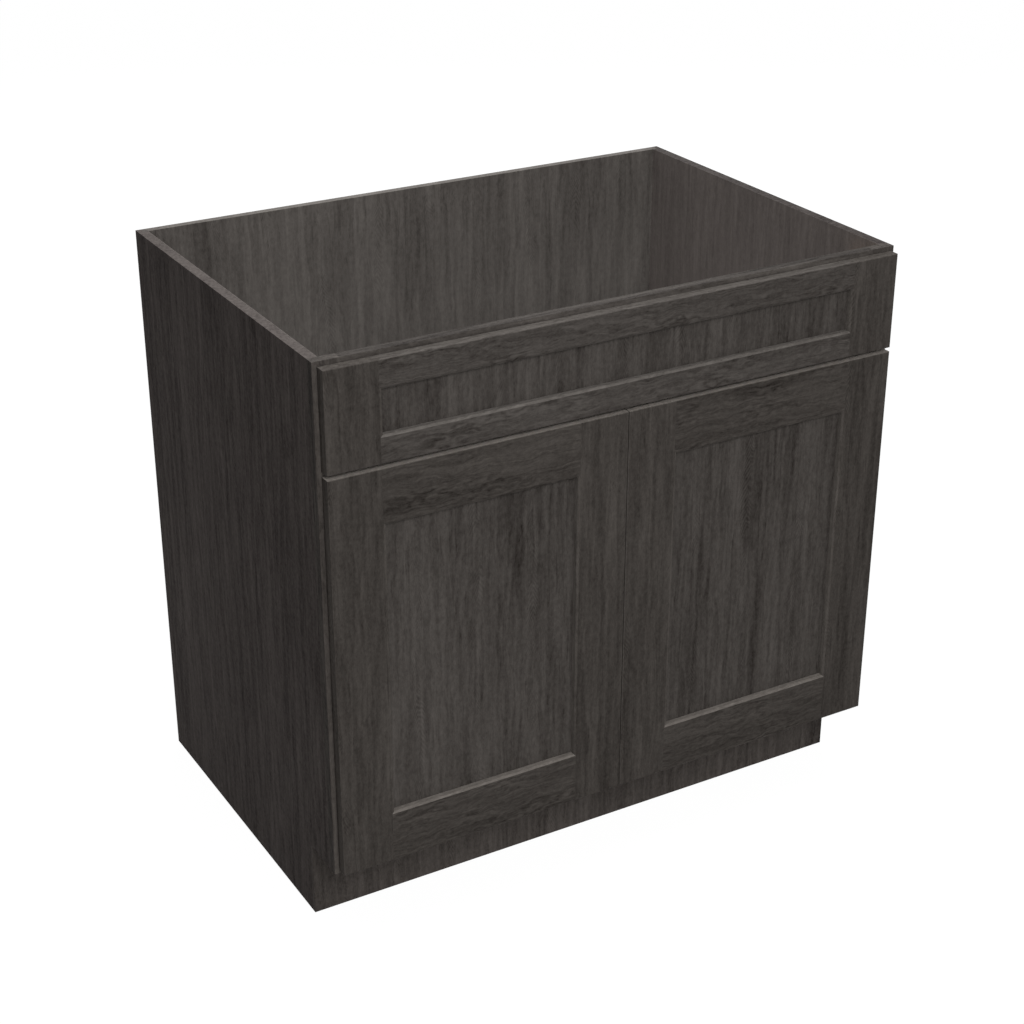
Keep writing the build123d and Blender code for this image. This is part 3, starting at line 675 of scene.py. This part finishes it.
# Sizes and places in millimetres. A screw's size is as screws() takes it.
CUP_SCREW = (1.48, 9.0, 2.95, 1.6)
ARM_SCREW = (1.62, 16.0, 3.4, 1.9)
POCKET_SCREW = (1.66, 25.0, 3.9, 2.0)
FRONT_SCREW = (1.75, 28.0, 4.2, 2.2)
BACK_SCREW = (1.66, 30.0, 3.32, 2.0)
HINGE_HEIGHTS = (209.65, 632.5)
CUP_FLANGE = (420.85, -296.8)    # X and Y of the cup screws' heads
CUP_SPACING = 22.5               # from the hinge's middle to a cup screw
ARM_FOOT = (417.5, -288.3)       # X and Y of the arm screws' heads
ARM_SPACING = 13
RAIL_MIDDLES = (857.25, 724.675, 133.35)
RAIL_END, FRAME_MIDDLE = 419.1, -288.3
POCKET_SPACING = 9.5             # from the rail's middle to a pocket screw
POCKET_DEPTH = 12                # from the rail's end back to the screw's head
POCKET_SLANT = radians(15)
FRAME_BACK = -280.8
FRONT_SCREW_X, FRONT_SCREW_HEIGHTS = 332.2, (854.075, 735.79)
BACK_FACE = 313.8
BACK_SCREW_X, BACK_SCREW_HEIGHTS = 446.2, (60, 438.15, 816.3)
FLOOR_SCREW_X, FLOOR_SCREW_HEIGHT = 221.1, 144.9
FRONTWARD = (0, -1, 0)

for side, sign in (("left", -1), ("right", 1)):
    cup = [(sign * CUP_FLANGE[0], CUP_FLANGE[1], z + step)
           for z in HINGE_HEIGHTS for step in (-CUP_SPACING, CUP_SPACING)]
    screws(f"{side}_cup_screws", f"{side}_door", cup, [FRONTWARD] * 4, CUP_SCREW, True,
           f"{side}_hinge_cup_screws")
    arm = [(sign * ARM_FOOT[0], ARM_FOOT[1], z + step)
           for z in HINGE_HEIGHTS for step in (-ARM_SPACING, ARM_SPACING)]
    screws(f"{side}_arm_screws", "cabinet", arm, [(sign, 0, 0)] * 4, ARM_SCREW, False,
           f"{side}_hinge_arm_screws")
pocket_seats, pocket_ways = [], []
for sign in (-1, 1):
    for middle in RAIL_MIDDLES:
        for step in (-POCKET_SPACING, POCKET_SPACING):
            pocket_seats.append((sign * (RAIL_END - POCKET_DEPTH * np.cos(POCKET_SLANT)),
                                 FRAME_MIDDLE + POCKET_DEPTH * np.sin(POCKET_SLANT),
                                 middle + step))
            pocket_ways.append((sign * np.cos(POCKET_SLANT), -np.sin(POCKET_SLANT), 0))
screws("pocket_screws", "cabinet", pocket_seats, pocket_ways, POCKET_SCREW, False,
       "frame_pocket_screws")
front_seats = [(x, FRAME_BACK, z)
               for x in (-FRONT_SCREW_X, FRONT_SCREW_X) for z in FRONT_SCREW_HEIGHTS]
screws("front_screws", "cabinet", front_seats, [FRONTWARD] * 4, FRONT_SCREW, False,
       "false_front_screws")
back_seats = [(x, BACK_FACE, z)
              for x in (-BACK_SCREW_X, BACK_SCREW_X) for z in BACK_SCREW_HEIGHTS]
back_seats += [(x, BACK_FACE, FLOOR_SCREW_HEIGHT) for x in (-FLOOR_SCREW_X, FLOOR_SCREW_X)]
screws("back_screws", "cabinet", back_seats, [FRONTWARD] * 8, BACK_SCREW, True,
       "back_panel_screws")

# --------------------------------------------------------------------------------------
# Studio. A white floor that runs out of sight, a soft light over the open top, two wide
# ones in front, one of them high and one low, and one behind on the right.
# --------------------------------------------------------------------------------------
FLOOR_HALF = 7.0                 # half of the floor's width, metres
FLOOR_DARK = (0.4, 0.4, 0.4, 1)  # the floor as the cabinet sees it
FLOOR_PALE = (0.85, 0.85, 0.85, 1)
FLOOR_GLOW, GLOW_SHARE = 1.04, 0.93      # the white that the camera sees of it
AMBIENT = 0.5                    # light of the sky; the camera sees it white


def seen_directly(paint):
    """1 for rays from the camera, from a mirror or through glass, else 0."""
    rays = [paint.node("ShaderNodeLightPath", output=name)
            for name in ("Is Camera Ray", "Is Glossy Ray", "Is Transmission Ray")]
    return (rays[0] + rays[1] + rays[2]).math("MINIMUM", 1.0)


mesh = bpy.data.meshes.new("floor")
mesh.from_pydata([(-FLOOR_HALF, -FLOOR_HALF, 0), (FLOOR_HALF, -FLOOR_HALF, 0),
                  (FLOOR_HALF, FLOOR_HALF, 0), (-FLOOR_HALF, FLOOR_HALF, 0)],
                 [], [(0, 1, 2, 3)])
floor = bpy.data.objects.new("studio_floor", mesh)
bpy.context.scene.collection.objects.link(floor)
paint = Paint(bpy.data.materials.new("studio_floor"))
seen = seen_directly(paint)
mesh.materials.append(paint.finish(Base_Color=paint.mix(seen, FLOOR_DARK, FLOOR_PALE),
                                   Roughness=0.9, Specular_IOR_Level=0.0))
matt = Wire(paint, paint.shader.outputs[0])
glow = paint.node("ShaderNodeEmission", {}, {"Color": (1, 1, 1, 1), "Strength": FLOOR_GLOW})
surface = paint.node("ShaderNodeMixShader", {}, {0: seen * GLOW_SHARE, 1: matt, 2: glow})
paint.put(paint.tree.nodes["Material Output"].inputs["Surface"], surface)

world = bpy.data.worlds.new("studio")
bpy.context.scene.world = world
sky = Paint(world)
background = sky.tree.nodes["Background"]
sky.put(background.inputs["Color"], (1, 1, 1, 1))
sky.put(background.inputs["Strength"], seen_directly(sky) * (1 - AMBIENT) + AMBIENT)


def softbox(name, place, aim, size, watts):
    """A rectangular area light at a place, turned to face a point."""
    data = bpy.data.lights.new(name, "AREA")
    data.shape = "RECTANGLE"
    data.size, data.size_y = size
    data.energy = watts
    lamp = bpy.data.objects.new(name, data)
    lamp.location = place
    lamp.rotation_euler = (Vector(aim) - Vector(place)).to_track_quat("-Z", "Y").to_euler()
    lamp.visible_camera = False
    bpy.context.scene.collection.objects.link(lamp)


softbox("light_over_opening", (-0.22, -0.22, 2.30), (0.05, 0.05, 0.60), (0.50, 0.30), 14)
softbox("light_front", (-0.80, -3.60, 3.05), (0.0, 0.0, 0.45), (1.3, 1.3), 84)
softbox("light_low_front", (-0.90, -4.20, 0.90), (0.0, 0.0, 0.40), (2.0, 1.2), 26)
softbox("light_behind", (1.9, 3.4, 2.2), (0.0, 0.0, 0.45), (2.0, 2.0), 60)

# --------------------------------------------------------------------------------------
# Camera. Left of the cabinet and above it, with a 70 mm lens. The Standard view shows
# colours as they are written.
# --------------------------------------------------------------------------------------
CAMERA_PLACE = (-1.38697, -2.39743, 1.77396)
CAMERA_YAW = 30.005
CAMERA_PITCH = 25.7175
LENS, SENSOR = 70.302, 36.0

lens = bpy.data.cameras.new("camera")
lens.lens = LENS
lens.sensor_width = SENSOR
camera = bpy.data.objects.new("camera", lens)
camera.location = CAMERA_PLACE
camera.rotation_euler = (radians(90 - CAMERA_PITCH), 0, radians(-CAMERA_YAW))
bpy.context.scene.collection.objects.link(camera)
bpy.context.scene.camera = camera
bpy.context.scene.view_settings.view_transform = "Standard"
